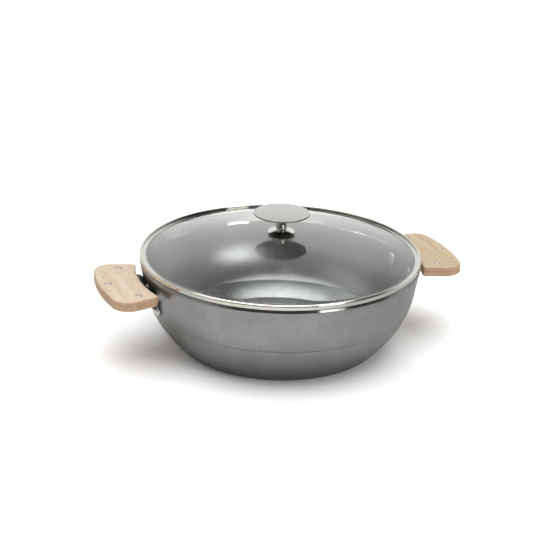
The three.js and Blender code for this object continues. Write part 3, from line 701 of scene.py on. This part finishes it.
for finish in (drawn_steel, ground_steel, floor_steel):
    pan_mesh.materials.append(finish)
centre, normal = of_faces(pan_mesh, "center") / MM, of_faces(pan_mesh, "normal")
faces_axis = (centre[:, :2] * normal[:, :2]).sum(axis=1) < 0
is_drawn = (centre[:, 2] < RIDGE_HEIGHT) & faces_axis & (normal[:, 2] < LEVEL)
is_ground = centre[:, 2] > RIM[1]
is_floor = (np.abs(centre[:, 2] - FLOOR_TOP) < FLOOR_NEAR) & (normal[:, 2] > LEVEL)
finish_index = np.select([is_drawn, is_ground, is_floor], [1, 2, 3], 0)
pan_mesh.polygons.foreach_set("material_index", finish_index)
print("faces brushed, drawn, ground and turned", np.bincount(finish_index))

# %% [markdown]
# ## Grips
# Each grip is a block of beech in the shape of a ring sector, sawn into two halves that close on
# the bracket's tongue. A bevel modifier could round a plain block, but the outer edge is well
# rounded and the parting edge is only broken. So the outline is one closed line, both edges are
# carried along it, and the flat faces are the same line drawn in towards the middle.

# %% Outline of a grip
GRIP_INNER, GRIP_OUTER = 145.2, 186.8
GRIP_HALF_ANGLE = 17.4
GRIP_INNER_CORNER, GRIP_OUTER_CORNER = 2.5, 17.0
ARC_STEPS, OUTER_STEPS, INNER_STEPS = 24, 14, 8


def grip_outline():
    """Closed line of the sector: the outer arc, a corner, the side, a small corner, the inner arc.
    A corner of radius c on an arc of radius R is centred R minus or plus c from the axis."""
    half = np.radians(GRIP_HALF_ANGLE)
    c, d = GRIP_OUTER_CORNER, GRIP_INNER_CORNER
    high = half - np.arcsin(c / (GRIP_OUTER - c))
    low = half - np.arcsin(d / (GRIP_INNER + d))
    degrees = np.degrees((high, half + np.pi / 2, low + np.pi))
    one_side = np.concatenate([
        arc((0, 0), GRIP_OUTER, 0, degrees[0], ARC_STEPS),
        arc((GRIP_OUTER - c) * heading(high), c, degrees[0], degrees[1], OUTER_STEPS)[1:],
        arc((GRIP_INNER + d) * heading(low), d, degrees[1], degrees[2], INNER_STEPS),
        arc((0, 0), GRIP_INNER, np.degrees(low), 0, ARC_STEPS)[1:],
    ])
    return np.concatenate([one_side, one_side[-2:0:-1] * (1, -1)])


outline = grip_outline()
around = np.roll(outline, -1, 0) - np.roll(outline, 1, 0)
around /= np.linalg.norm(around, axis=1, keepdims=True)
out_of_grip = np.stack([around[:, 1], -around[:, 0]], axis=-1)
grip_middle = outline.mean(axis=0)
print("grip outline", len(outline), "points, width", round(np.ptp(outline[:, 1]), 1))

# %% Half of a grip
GRIP_TOP, GRIP_BOTTOM, GRIP_EASING = 81.0, 70.2, 2.2
PARTING, PARTING_GAP, PARTING_EASING = 75.6, 0.3, 0.25
QUARTER = np.radians(np.linspace(0, 90, 12))
FEW = QUARTER[::4]   # enough for the small parting edge
FACE_ROWS = np.linspace(1, 0, 14)[1:, None, None]
HALVES = {
    "upper": (PARTING + PARTING_GAP / 2, GRIP_TOP, 1),
    "lower": (PARTING - PARTING_GAP / 2, GRIP_BOTTOM, -1),
}


def grip_half(parting, face, way):
    """Rows of one half: in along the broken parting edge, up the side, over the eased edge, and in
    across both faces to the middle. An edge of radius e is drawn in by e less e times the cosine."""
    drawn_in = np.concatenate([PARTING_EASING * (1 - np.sin(FEW)), GRIP_EASING * (1 - np.cos(QUARTER))])
    height = np.concatenate([
        parting + way * PARTING_EASING * (1 - np.cos(FEW)),
        face - way * GRIP_EASING * (1 - np.sin(QUARTER)),
    ])
    sides = outline[None] - out_of_grip[None] * drawn_in[:, None, None]
    face_rows = grip_middle + (sides[-1:] - grip_middle) * FACE_ROWS
    back_rows = grip_middle + (sides[:1] - grip_middle) * FACE_ROWS[::-1]
    plan = np.concatenate([back_rows, sides, face_rows])
    level = np.concatenate([np.full(len(back_rows), height[0]), height, np.full(len(face_rows), height[-1])])
    return np.concatenate([plan, np.broadcast_to(level[:, None, None], (*plan.shape[:2], 1))], axis=-1)


print("rows of a half", len(grip_half(*HALVES["upper"])))

# %% Halves of the grips, drilled for the pins
PIN_RADIUS, PIN_PLAY, PIN_FACETS, DRILL_REACH = 3.25, 0.3, 48, 8
PIN_PLACES = {"near": (161.5, -13.3), "middle": (177.5, 0), "far": (161.5, 13.3)}


def cut(mesh, cutter):
    """The mesh with another mesh cut out of it, by an exact boolean."""
    block, tool = (bpy.data.objects.new(m.name, m) for m in (mesh, cutter))
    for made in (block, tool):
        scene.collection.objects.link(made)
    step = block.modifiers.new("cut", "BOOLEAN")
    step.object, step.solver = tool, "EXACT"
    result = bpy.data.meshes.new_from_object(block.evaluated_get(bpy.context.evaluated_depsgraph_get()))
    for made in (block, tool):
        bpy.data.objects.remove(made)
    return closed(result)


def polar(radius, degrees):
    """Place on the level at a radius and an angle from +X."""
    return radius * np.append(heading(np.radians(degrees)), 0)


def half_turn(points):
    """The same points on the other side of the pan: turned by half a turn about Z."""
    return points * (-1, -1, 1)


SIDES = {"right": np.asarray, "left": half_turn}
bore = PIN_RADIUS + PIN_PLAY
drill = lathe([(0, -DRILL_REACH), (bore, -DRILL_REACH), (bore, DRILL_REACH), (0, DRILL_REACH)], PIN_FACETS)
drill[..., 2] += PARTING
for side, turn_to in SIDES.items():
    holes = [turn_to(drill + polar(*place)) for place in PIN_PLACES.values()]
    for half, sizes in HALVES.items():
        block = grid_mesh(f"{side}_grip_{half}", turn_to(grip_half(*sizes)))
        for hole in holes:
            block = cut(block, grid_mesh("drill", hole))
        place_piece(f"{side}_{half}_grip", block, "pan", [f"{side}_grip_{half}"], beech)
        print(side, half, "grip", len(block.polygons), "faces")

# %% [markdown]
# ## Pins and rivets
# Three steel pins go right through each grip, and their rounded ends stand a hair proud of the wood.
# Two rivets hold each bracket to the wall, with a round head outside and a low satin head inside.
# The outer head gets the dark steel as painted shade. Cylinders and spheres could be joined for
# them, but a turned half section is one clean skin. Three directions at right angles then set a
# rivet square to the leaning wall.

# %% Pins through the grips
PIN_PROUD, PIN_EDGE = 0.25, 0.6
END_NAMES = {"right": ("near", "middle", "far"), "left": ("far", "middle", "near")}

pin_half = (GRIP_TOP - GRIP_BOTTOM) / 2 + PIN_PROUD
pin = lathe(eased([(0, -pin_half, 0), (PIN_RADIUS, -pin_half, PIN_EDGE),
                   (PIN_RADIUS, pin_half, PIN_EDGE), (0, pin_half, 0)]), PIN_FACETS)
pin[..., 2] += PARTING
for side, names in END_NAMES.items():
    for name, place in zip(names, PIN_PLACES.values()):
        mesh = grid_mesh(f"{side}_{name}_pin", SIDES[side](pin + polar(*place)))
        place_piece(f"{side}_{name}_pin", mesh, "pan", [f"{side}_grip_pin_{name}"], worn_steel)

# %% Section of a rivet
RIVET_HEIGHT, RIVET_OFFSET, RIVET_RADIUS, RIVET_FACETS = 64.0, 23.0, 2.5, 48
STRIP, PLAY = 2.5, 0.3
OUTER_HEAD, INNER_HEAD = (5.0, 2.4), (7.0, 1.9)

climbing_line, climbing_run = outer_line[FLAT_ROWS:], run[FLAT_ROWS:]
rivet_radius = np.interp(RIVET_HEIGHT, climbing_line[:, 1], climbing_line[:, 0])
rivet_lean = np.arctan2(*[np.interp(RIVET_HEIGHT, climbing_line[:, 1], climbing_run[:, i]) for i in (1, 0)])
outer_seat, inner_seat = 2 * PLAY + STRIP, -SHEET - PLAY
inner_dome, outer_dome = (
    np.stack([head[0] * np.cos(QUARTER), seat + way * head[1] * np.sin(QUARTER)], axis=-1)
    for head, seat, way in ((INNER_HEAD, inner_seat, -1), (OUTER_HEAD, outer_seat, 1))
)
shank = [(RIVET_RADIUS, inner_seat), (RIVET_RADIUS, outer_seat)]
rivet_outline = np.concatenate([inner_dome[::-1], shank, outer_dome])
rivet_outline[[0, -1], 0] = 0
print("rivets at radius", rivet_radius.round(2), "lean", np.degrees(rivet_lean).round(1))

# %% Rivets through the wall
for side, names in END_NAMES.items():
    for name, way in ((names[0], -1), (names[2], 1)):
        turn = way * np.arcsin(RIVET_OFFSET / rivet_radius)
        axis = np.append(np.sin(rivet_lean) * heading(turn), -np.cos(rivet_lean))
        across = np.append(heading(turn + np.pi / 2), 0)
        basis = np.stack([across, np.cross(axis, across), axis])
        place = np.append(rivet_radius * heading(turn), RIVET_HEIGHT)
        points = lathe(rivet_outline, RIVET_FACETS) @ basis + place
        mesh = grid_mesh(f"{side}_{name}_rivet", SIDES[side](points))
        place_piece(f"{side}_{name}_rivet", mesh, "pan", [f"{side}_wall_rivet_{name}"],
                    satin_steel)
        # The outer head gets the dark steel: painted shade.
        mesh.materials.append(shade_steel)
        from_axis = np.linalg.norm(of_faces(mesh, "center")[:, :2], axis=1)
        outside_wall = from_axis > (rivet_radius + STRIP / 2) * MM
        mesh.polygons.foreach_set("material_index", outside_wall.astype(int))

# %% [markdown]
# ## Brackets
# Each bracket is one strip of steel. Two rounded feet lie on the wall, the strip bends outwards
# below the grip and its tongue goes into the wood. It could be cut from a bent plate by booleans,
# but their edges are hard to round. So the middle of the strip is a grid: rows follow the bent line
# and columns run across one foot, and above the notch the two halves share a line. Solidify gives
# it thickness, and subdivision rounds the edges as a tumbled pressing's are. The cells inside the
# edges get the dark steel as painted shade, and the cells at the edges and the ends of the feet are bright.

# %% Bent line of a bracket
BEND, BEND_STEPS = 4.5, 8
FOOT_HALF, FOOT_END, NOTCH_TOP = 7.0, 58.5, 74.0
FOOT_TURN, NOTCH_TURN = np.radians([12, 22, 35, 50, 65, 80, 90]), np.radians([20, 40, 60, 75, 90])
TONGUE_MIDDLE, TONGUE_END = (150.0, 158.0), 178.0
EDGE_LOOP = 0.7

stand_off = PLAY + STRIP / 2
notch_radius = RIVET_OFFSET - FOOT_HALF
bend_start = PARTING - BEND + BEND * np.cos(TOP_LEAN)
foot_heights = np.concatenate([
    FOOT_END - FOOT_HALF * np.cos(FOOT_TURN),
    NOTCH_TOP - notch_radius + notch_radius * np.sin(NOTCH_TURN),
])
on_wall = foot_heights[foot_heights < bend_start]
wall_radius = np.interp(on_wall, climbing_line[:, 1], climbing_line[:, 0])
wall_line = np.stack([wall_radius + stand_off, on_wall], axis=-1)
bend_centre = np.array([wall_line[-1, 0] + BEND * np.sin(TOP_LEAN), PARTING - BEND])
bend_line = arc(bend_centre, BEND, np.degrees(TOP_LEAN) + 90, 90, BEND_STEPS)
tongue_line = np.array([(x, PARTING) for x in (*TONGUE_MIDDLE, TONGUE_END - EDGE_LOOP, TONGUE_END)])
middle_line = np.concatenate([wall_line, bend_line[1:], tongue_line])
print("foot rows", on_wall.round(1), "bend starts at", round(bend_start, 1))

# %% Middle surface of a bracket
NECK_HALF, SHOULDER = 26.0, 70.0
SHADE_FROM = 57.5
STRIP_COLUMNS = np.linspace(0, 1, 5)

strip_level = middle_line[:, 1]
foot_width = np.sqrt(np.clip(FOOT_HALF ** 2 - np.clip(FOOT_END - strip_level, 0, None) ** 2, 0, None))
to_shoulder = np.clip((strip_level - FOOT_END) / (SHOULDER - FOOT_END), 0, 1)
taper = (RIVET_OFFSET + FOOT_HALF - NECK_HALF) * to_shoulder
notch_width = np.sqrt(np.clip(notch_radius ** 2 - (strip_level - NOTCH_TOP + notch_radius) ** 2, 0, None))
in_notch = strip_level > NOTCH_TOP - notch_radius
inner_edge = np.where(in_notch, notch_width, RIVET_OFFSET - foot_width)
outer_edge = RIVET_OFFSET + foot_width - taper
inner_loop, outer_loop = inner_edge + EDGE_LOOP, outer_edge - EDGE_LOOP
between = inner_loop[:, None] + (outer_loop - inner_loop)[:, None] * STRIP_COLUMNS
across = np.concatenate([inner_edge[:, None], between, outer_edge[:, None]], axis=1)
out = np.sqrt(middle_line[:, :1] ** 2 - across ** 2)
half_strip = np.stack([out, across, np.broadcast_to(strip_level[:, None], out.shape)], axis=-1)
# Painted shade: the cells inside the edges from 57.5 mm up get the dark steel.
shaded_cells = np.zeros(np.subtract(out.shape, 1), int)
shaded_cells[:, 1:-1] = strip_level[1:, None] > SHADE_FROM
shaded_cells[inner_edge[1:] == 0, 0] = 1
print("half a strip", out.shape, "points,", shaded_cells.sum(), "dark cells")

# %% Brackets with their thickness
index = np.arange(out.size).reshape(out.shape)
both_halves = np.concatenate([quads_of(index), quads_of(index)[:, ::-1] + out.size])
for side, turn_to in SIDES.items():
    halves = [turn_to(half_strip * (1, way, 1)).reshape(-1, 3) for way in (1, -1)]
    mesh = bpy.data.meshes.new(f"{side}_bracket")
    mesh.from_pydata((np.concatenate(halves) * MM).tolist(), [], both_halves.tolist())
    mesh.polygons.foreach_set("material_index", np.tile(shaded_cells.ravel(), 2))
    closed(mesh)
    bracket = place_piece(f"{side}_bracket", mesh, "pan", [f"{side}_handle_bracket"],
                          polished_steel)
    mesh.materials.append(shade_steel)
    solid = bracket.modifiers.new("thickness", "SOLIDIFY")
    solid.thickness, solid.offset = STRIP * MM, 0
    fine = bracket.modifiers.new("rounded_edges", "SUBSURF")
    fine.levels = fine.render_levels = 2
print("brackets", len(mesh.polygons), "faces before thickness")

# %% [markdown]
# ## Lid band
# The band is rolled from thin stainless strip: a skirt that drops inside the pan and turns in to a
# lip, a shelf that lies on the rim, an outer wall and a bead that holds the glass down. A curve with
# a bevel would round every corner alike. One closed section, turned about the axis, gives each
# corner an easing of its own, and the broad ones at the bead mirror the room as thin dark lines.

# %% Band round the glass
STRIP_THIN, BAND_STEPS = 0.8, 10
LID_RADIUS, LID_BOTTOM, BAND_TOP = 141.0, 91.3, 96.7
SKIRT_INNER, SKIRT_OUTER, SKIRT_BOTTOM = 134.4, 135.2, 77.2
SKIRT_LIP_TOP, SKIRT_LIP_INNER = 79.8, 133.4
BEAD_INNER, BEAD_BOTTOM = 138.6, 95.5
WALL_INNER, SHELF_TOP = 140.2, 92.1

# Each corner: its radius, its height and its easing
band_section = [
    (SKIRT_LIP_INNER, SKIRT_BOTTOM, 0.3), (SKIRT_LIP_INNER + STRIP_THIN, SKIRT_BOTTOM, 0.3),
    (SKIRT_OUTER, SKIRT_LIP_TOP, 0.8), (SKIRT_OUTER, LID_BOTTOM, 0.5),
    (LID_RADIUS, LID_BOTTOM, 1.4), (LID_RADIUS, BAND_TOP, 1.9),
    (BEAD_INNER, BAND_TOP, 0.4), (BEAD_INNER, BEAD_BOTTOM, 0.2),
    (WALL_INNER, BEAD_BOTTOM, 0.2), (WALL_INNER, SHELF_TOP, 0.3),
    (SKIRT_INNER, SHELF_TOP, 0.6), (SKIRT_INNER, SKIRT_LIP_TOP, 0.8),
]
band_mesh = grid_mesh("lid_band", lathe(eased(band_section, BAND_STEPS), PAN_FACETS), closed_rows=True)
place_piece("band", band_mesh, "lid", ["lid_band"], polished_steel)
print("band", len(band_mesh.polygons), "faces")

# %% [markdown]
# ## Lid glass
# A shallow dome with a level flange at its edge and a hole for the knob's screw. A sphere's cap
# joined to a flat ring would have a corner between them. Sagging glass has none, so the height
# above the flange is passed through a soft maximum with zero, which blends the two.

# %% Glass dome
GLASS, DOME_RADIUS, DOME_MEETS = 2.9, 450.0, 134.0
FLANGE_TOP, GLASS_EDGE, GLASS_HOLE, GROUND_EDGE = 95.3, 139.6, 4.0, 1.0
SOFT_CORNER = 0.25
DOME_TO, FINE_FROM, DOME_ROWS, FINE_ROWS, EDGE_STEPS = 126, 127, 60, 36, 6

dome_centre = FLANGE_TOP - np.sqrt(DOME_RADIUS ** 2 - DOME_MEETS ** 2)
edge_at = GLASS_EDGE - GROUND_EDGE
glass_radius = np.concatenate([
    np.linspace(GLASS_HOLE, DOME_TO, DOME_ROWS), np.linspace(FINE_FROM, edge_at, FINE_ROWS),
])


def dome(sphere, flange):
    """Height of one face of the glass: the sphere's cap, softly held above the flange's level."""
    cap = dome_centre + np.sqrt(sphere ** 2 - glass_radius ** 2) - flange
    return np.stack([glass_radius, flange + SOFT_CORNER * np.logaddexp(0, cap / SOFT_CORNER)], axis=-1)


glass_top = dome(DOME_RADIUS, FLANGE_TOP)
glass_under = dome(DOME_RADIUS - GLASS, FLANGE_TOP - GLASS)
glass_outline = np.concatenate([
    glass_top,
    arc((edge_at, FLANGE_TOP - GROUND_EDGE), GROUND_EDGE, 90, 0, EDGE_STEPS)[1:],
    arc((edge_at, FLANGE_TOP - GLASS + GROUND_EDGE), GROUND_EDGE, 0, -90, EDGE_STEPS)[:-1],
    glass_under[::-1],
])
glass_mesh = grid_mesh("lid_glass", lathe(glass_outline, PAN_FACETS), closed_rows=True)
place_piece("glass", glass_mesh, "lid", ["lid_glass"], tempered_glass)
print("glass", len(glass_mesh.polygons), "faces, top at", round(glass_top[0, 1], 2))

# %% [markdown]
# ## Knob
# A thin convex disc with a bevelled edge on a short stem, with a washer at the stem's foot. Below
# the glass a gasket, a washer and a slotted screw hold it. Cylinders with bevels would come close,
# but all the pieces are turned, so each is a half section carried round Z. The disc and the washer
# are bright only where they look up, and their sides get the dark steel as painted shade and
# painted dark reflection, which draws them clear of the glass.

# %% Knob's disc
DISC_RADIUS, DISC_BOTTOM, DISC_EDGE, DISC_CROWN, DISC_BEVEL = 28.2, 136.3, 1.1, 1.2, 0.45
CROWN_FROM, CROWN_ROWS, DISC_FACETS = 0.96, 24, 120
LOOKS_UP = 0.8


def paint_shade_on_sides(mesh):
    """Gives the dark steel of painted shade to every face whose normal climbs less than LOOKS_UP."""
    mesh.materials.append(shade_steel)
    shaded_side = of_faces(mesh, "normal")[:, 2] < LOOKS_UP
    mesh.polygons.foreach_set("material_index", shaded_side.astype(int))


disc_top = DISC_BOTTOM + DISC_EDGE
disc_rim = eased([(0, DISC_BOTTOM, 0), (DISC_RADIUS, DISC_BOTTOM, 0.15),
                  (DISC_RADIUS - DISC_BEVEL, disc_top, 0.25), (0, disc_top, 0)])[:-1]
from_middle = np.linspace(CROWN_FROM, 0, CROWN_ROWS)
crown = np.stack([DISC_RADIUS * from_middle, disc_top + DISC_CROWN * (1 - from_middle ** 2)], axis=-1)
disc = grid_mesh("knob_disc", lathe(np.concatenate([disc_rim, crown]), DISC_FACETS))
place_piece("disc", disc, "lid", ["knob_disc"], satin_steel)
paint_shade_on_sides(disc)
print("disc", len(disc.polygons), "faces")

# %% Knob's stem and washer
STEM_RADIUS, STEM_BOTTOM, STEM_FACETS = 5.6, 119.2, 64
WASHER_RADIUS, WASHER_BOTTOM, WASHER_EDGE, WASHER_TOP = 13.7, 117.0, 117.8, 119.2
WASHER_FLAT, WASHER_FACETS, SCREW_HOLE = 1.0, 80, 2.8

stem_section = eased([(0, STEM_BOTTOM, 0), (STEM_RADIUS, STEM_BOTTOM, 0.4),
                      (STEM_RADIUS, DISC_BOTTOM, 0.4), (0, DISC_BOTTOM, 0)])
stem = grid_mesh("knob_stem", lathe(stem_section, STEM_FACETS))
place_piece("stem", stem, "lid", ["knob_stem"], polished_steel)

washer_section = eased([(SCREW_HOLE, WASHER_BOTTOM, 0), (WASHER_RADIUS, WASHER_BOTTOM, 0.3),
                        (WASHER_RADIUS, WASHER_EDGE, 0.5), (STEM_RADIUS + WASHER_FLAT, WASHER_TOP, 0.6),
                        (SCREW_HOLE, WASHER_TOP, 0)])
washer = grid_mesh("knob_washer", lathe(washer_section, WASHER_FACETS), closed_rows=True)
place_piece("washer", washer, "lid", ["knob_washer"], polished_steel)
paint_shade_on_sides(washer)
print("stem", len(stem.polygons), "washer", len(washer.polygons), "faces")

# %% Gaskets and lower washer
RING_FACETS, RING_STEPS = 72, 4
# Each ring: its solid, its outer radius, bottom, top and easing, its finish and its slot
RINGS = {
    "upper_gasket": ("knob_upper_gasket", (12.0, 115.72, 117.0, 0.35), silicone, "silicone"),
    "lower_gasket": ("knob_lower_gasket", (11.0, 111.5, 112.65, 0.35), silicone, "silicone"),
    "lower_washer": ("knob_lower_washer", (9.5, 110.1, 111.45, 0.3), polished_steel, "stainless"),
}
for name, (node, (radius, bottom, top, easing), finish, slot) in RINGS.items():
    ring = [(SCREW_HOLE, bottom), (radius, bottom), (radius, top), (SCREW_HOLE, top)]
    ring_section = eased([(*corner, easing) for corner in ring], RING_STEPS)
    mesh = grid_mesh(node, lathe(ring_section, RING_FACETS), closed_rows=True)
    place_piece(name, mesh, "lid", [node], finish)
print("rings", list(RINGS))

# %% Screw with its slot
SCREW_SEAT, SCREW_HEAD, HEAD_RADIUS, SCREW_RADIUS, SCREW_TIP = 110.05, 106.9, 4.7, 2.5, 128.5
SLOT, SAW_BELOW = 1.2, 2

screw_section = eased([
    (0, SCREW_HEAD, 0), (HEAD_RADIUS, SCREW_HEAD, 1.6), (HEAD_RADIUS, SCREW_SEAT, 0.2),
    (SCREW_RADIUS, SCREW_SEAT, 0.1), (SCREW_RADIUS, SCREW_TIP, 0.4), (0, SCREW_TIP, 0),
])
whole_screw = grid_mesh("knob_screw", lathe(screw_section, STEM_FACETS))
saw_outline = np.array([(-1, -1), (1, -1), (1, 1), (-1, 1)]) * (2 * HEAD_RADIUS, SLOT / 2)
saw_levels = np.repeat([SCREW_HEAD - SAW_BELOW, SCREW_HEAD + SLOT], 2)
saw_rows = np.stack([saw_outline * k for k in (0, 1, 1, 0)])
saw = np.concatenate([saw_rows, np.broadcast_to(saw_levels[:, None, None], (4, 4, 1))], axis=-1)
screw = cut(whole_screw, grid_mesh("saw", saw))
place_piece("screw", screw, "lid", ["knob_screw"], polished_steel)
print("screw", len(screw.polygons), "faces")
